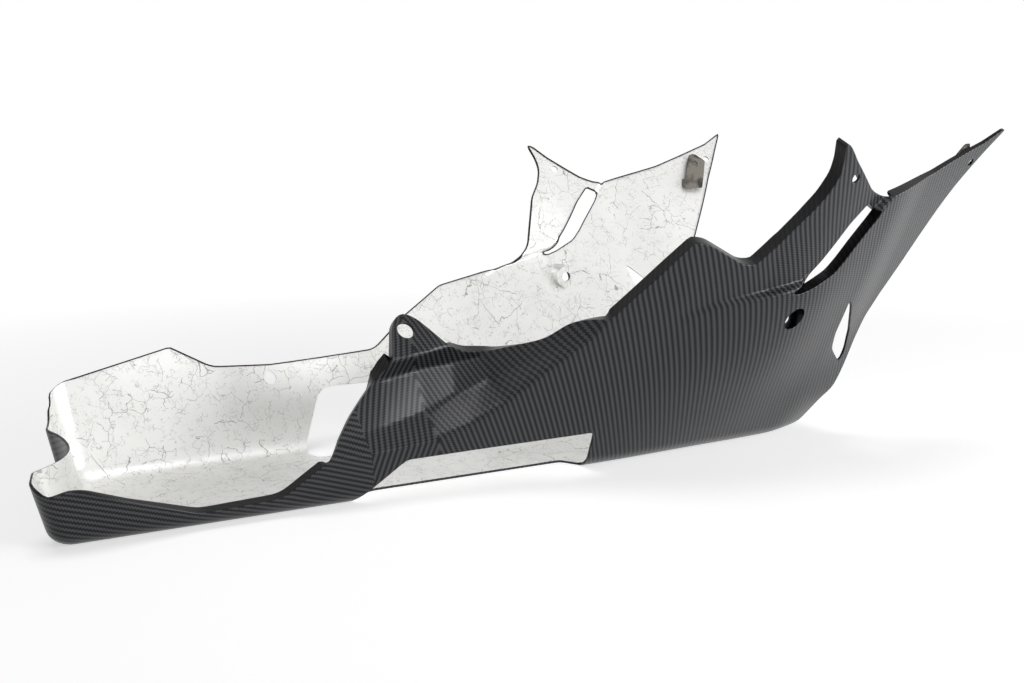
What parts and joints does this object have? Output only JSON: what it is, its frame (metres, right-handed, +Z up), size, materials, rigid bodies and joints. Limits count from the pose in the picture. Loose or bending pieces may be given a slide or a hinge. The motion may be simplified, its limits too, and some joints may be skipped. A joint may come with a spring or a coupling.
{
  "type": "motorcycle belly pan",
  "caption": "Carbon-fibre belly pan for a motorcycle: an open trough with flared side panels, wing tips, exhaust recess, side windows and fixing holes.",
  "frame": {"origin": "on the floor under the middle of the pan", "axes": "+X forwards, +Y to the left side of the motorcycle, +Z up"},
  "size_m": [0.807, 0.484, 0.2865],
  "materials": {
    "carbon_fibre": "clear-coated woven carbon fibre outside, silver heat-reflecting foil inside",
    "bare_composite": "bare composite, unpainted"
  },
  "bodies": {
    "root": {"belly_pan": "carbon_fibre", "wing_tab_left": "bare_composite", "wing_tab_right": "bare_composite"}
  },
  "joints": []
}
